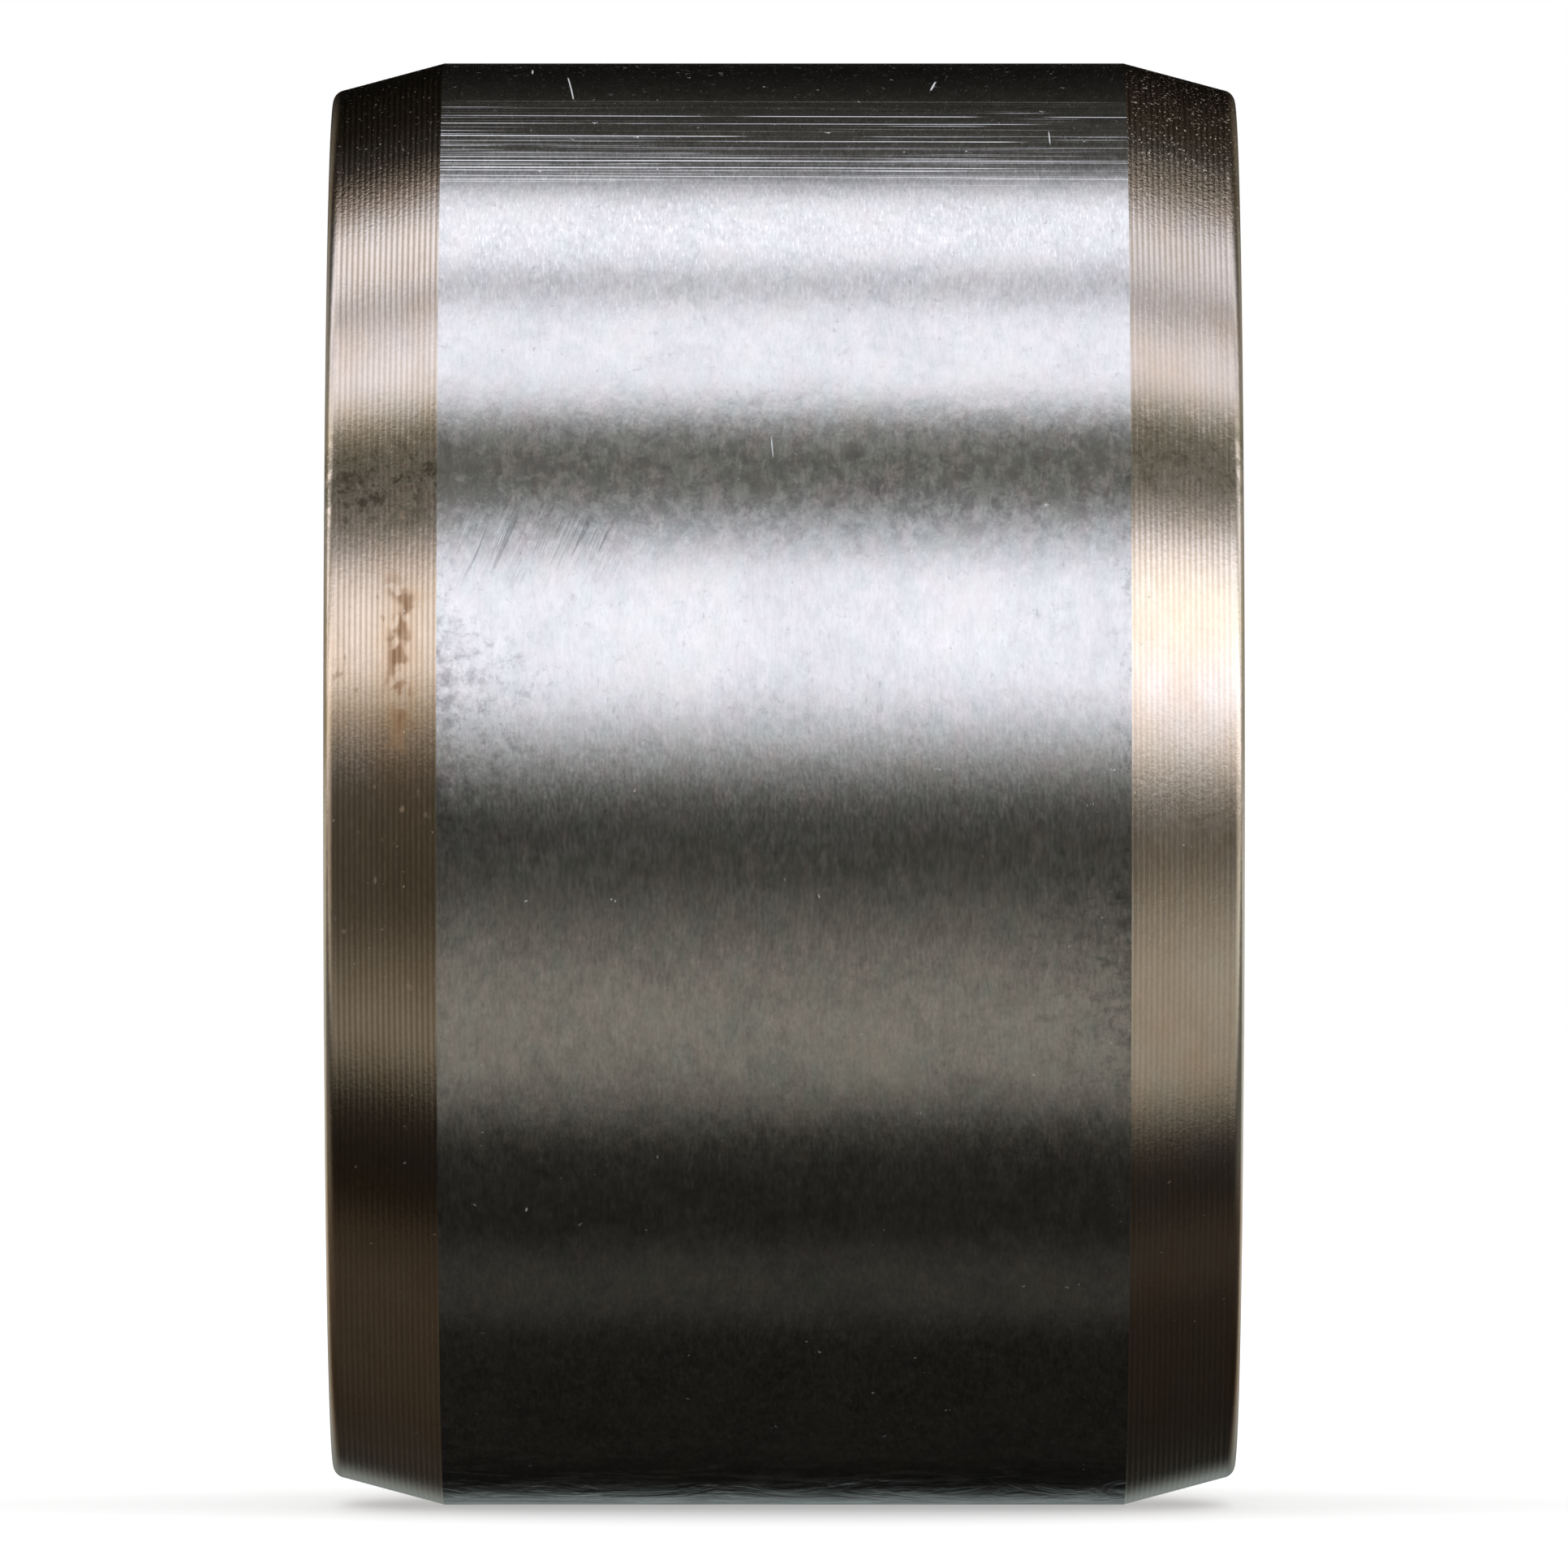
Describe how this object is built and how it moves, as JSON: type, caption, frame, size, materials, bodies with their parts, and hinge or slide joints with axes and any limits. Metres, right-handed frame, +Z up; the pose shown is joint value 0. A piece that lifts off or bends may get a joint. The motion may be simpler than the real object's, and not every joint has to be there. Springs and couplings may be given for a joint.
{
  "type": "rigid sleeve coupling",
  "caption": "Short thick steel sleeve with tapered ends that joins two keyed shafts end to end, locked by socket set screws on swivelling brass pads.",
  "frame": {"origin": "middle of the sleeve, on the bore axis at mid length", "axes": "+X along the bore axis, +Z up; the set screws are on the +Y side, the row over the keyway at 45 degrees above +Y and the other row at 45 degrees below it"},
  "size_m": [0.05, 0.08, 0.08],
  "materials": {
    "sleeve_steel": "fine ground band between turned, straw-tinted tapers",
    "spring_steel": "phosphated spring steel",
    "screw_steel": "black oxide, lightly oiled",
    "pad_brass": "turned"
  },
  "bodies": {
    "sleeve": {"coupling_sleeve": "sleeve_steel", "stop_ring": "spring_steel"},
    "pad_left_key": {"shaft_pad_left_key": "pad_brass"},
    "screw_left_key": {"set_screw_left_key": "screw_steel"},
    "pad_left_shaft": {"shaft_pad_left_shaft": "pad_brass"},
    "screw_left_shaft": {"set_screw_left_shaft": "screw_steel"},
    "pad_right_key": {"shaft_pad_right_key": "pad_brass"},
    "screw_right_key": {"set_screw_right_key": "screw_steel"},
    "pad_right_shaft": {"shaft_pad_right_shaft": "pad_brass"},
    "screw_right_shaft": {"set_screw_right_shaft": "screw_steel"}
  },
  "joints": [
    {"name": "pad_left_key_travel", "type": "slide", "parent": "sleeve", "child": "pad_left_key", "axis": [0, -0.7071, -0.7071], "range_m": [-0.012, 0.0005]},
    {"name": "screw_left_key_turn", "type": "hinge", "parent": "pad_left_key", "child": "screw_left_key", "pos_m": [-0.0125, 0.02227, 0.02227], "axis": [0, -0.7071, -0.7071], "range_deg": [-2880.1, 120.1]},
    {"name": "pad_left_shaft_travel", "type": "slide", "parent": "sleeve", "child": "pad_left_shaft", "axis": [0, -0.7071, 0.7071], "range_m": [-0.015, 0.0002]},
    {"name": "screw_left_shaft_turn", "type": "hinge", "parent": "pad_left_shaft", "child": "screw_left_shaft", "pos_m": [-0.0125, 0.01994, -0.01994], "axis": [0, -0.7071, 0.7071], "range_deg": [-3600.1, 48.1]},
    {"name": "pad_right_key_travel", "type": "slide", "parent": "sleeve", "child": "pad_right_key", "axis": [0, -0.7071, -0.7071], "range_m": [-0.012, 0.0005]},
    {"name": "screw_right_key_turn", "type": "hinge", "parent": "pad_right_key", "child": "screw_right_key", "pos_m": [0.0125, 0.02227, 0.02227], "axis": [0, -0.7071, -0.7071], "range_deg": [-2880.1, 120.1]},
    {"name": "pad_right_shaft_travel", "type": "slide", "parent": "sleeve", "child": "pad_right_shaft", "axis": [0, -0.7071, 0.7071], "range_m": [-0.015, 0.0002]},
    {"name": "screw_right_shaft_turn", "type": "hinge", "parent": "pad_right_shaft", "child": "screw_right_shaft", "pos_m": [0.0125, 0.01994, -0.01994], "axis": [0, -0.7071, 0.7071], "range_deg": [-3600.1, 48.1]}
  ],
  "couplings": [
    {"joint": "screw_left_key_turn", "follows": "pad_left_key_travel", "rad_per_m": 4188.8},
    {"joint": "screw_left_shaft_turn", "follows": "pad_left_shaft_travel", "rad_per_m": 4188.8},
    {"joint": "screw_right_key_turn", "follows": "pad_right_key_travel", "rad_per_m": 4188.8},
    {"joint": "screw_right_shaft_turn", "follows": "pad_right_shaft_travel", "rad_per_m": 4188.8}
  ]
}
